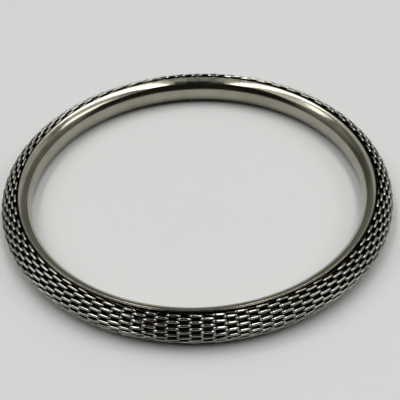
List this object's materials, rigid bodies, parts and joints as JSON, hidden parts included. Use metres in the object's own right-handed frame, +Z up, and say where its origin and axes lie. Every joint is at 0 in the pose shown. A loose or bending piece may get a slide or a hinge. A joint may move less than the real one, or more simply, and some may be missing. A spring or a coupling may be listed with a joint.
{
  "type": "bangle bracelet",
  "caption": "Rigid round slip-on bangle: a smooth inner channel with rolled lips that hold a woven sleeve of interlocked metal wire coils round a ring core.",
  "frame": {"origin": "centre of the bangle's footprint, on the surface that it lies on", "axes": "+Z up along the axis of the ring; +X and +Y lie in the plane of the ring, and wire_coils_01 starts at +X"},
  "size_m": [0.076, 0.076, 0.006],
  "materials": {
    "channel_metal": "polished, silver tone, faintly warm",
    "wire_metal": "polished drawn wire, silver tone",
    "core_metal": "unplated, as drawn"
  },
  "bodies": {
    "root": {"inner_channel": "channel_metal", "ring_core": "core_metal", "wire_coils_01": "wire_metal", "wire_coils_02": "wire_metal", "wire_coils_03": "wire_metal", "wire_coils_04": "wire_metal", "wire_coils_05": "wire_metal", "wire_coils_06": "wire_metal", "wire_coils_07": "wire_metal", "wire_coils_08": "wire_metal", "wire_coils_09": "wire_metal", "wire_coils_10": "wire_metal", "wire_coils_11": "wire_metal", "wire_coils_12": "wire_metal", "wire_coils_13": "wire_metal", "wire_coils_14": "wire_metal", "wire_coils_15": "wire_metal", "wire_coils_16": "wire_metal", "wire_coils_17": "wire_metal", "wire_coils_18": "wire_metal", "wire_coils_19": "wire_metal", "wire_coils_20": "wire_metal", "wire_coils_21": "wire_metal", "wire_coils_22": "wire_metal", "wire_coils_23": "wire_metal", "wire_coils_24": "wire_metal", "wire_coils_25": "wire_metal", "wire_coils_26": "wire_metal", "wire_coils_27": "wire_metal", "wire_coils_28": "wire_metal", "wire_coils_29": "wire_metal", "wire_coils_30": "wire_metal", "wire_coils_31": "wire_metal", "wire_coils_32": "wire_metal", "wire_coils_33": "wire_metal", "wire_coils_34": "wire_metal", "wire_coils_35": "wire_metal", "wire_coils_36": "wire_metal", "wire_coils_37": "wire_metal", "wire_coils_38": "wire_metal", "wire_coils_39": "wire_metal", "wire_coils_40": "wire_metal"}
  },
  "joints": []
}
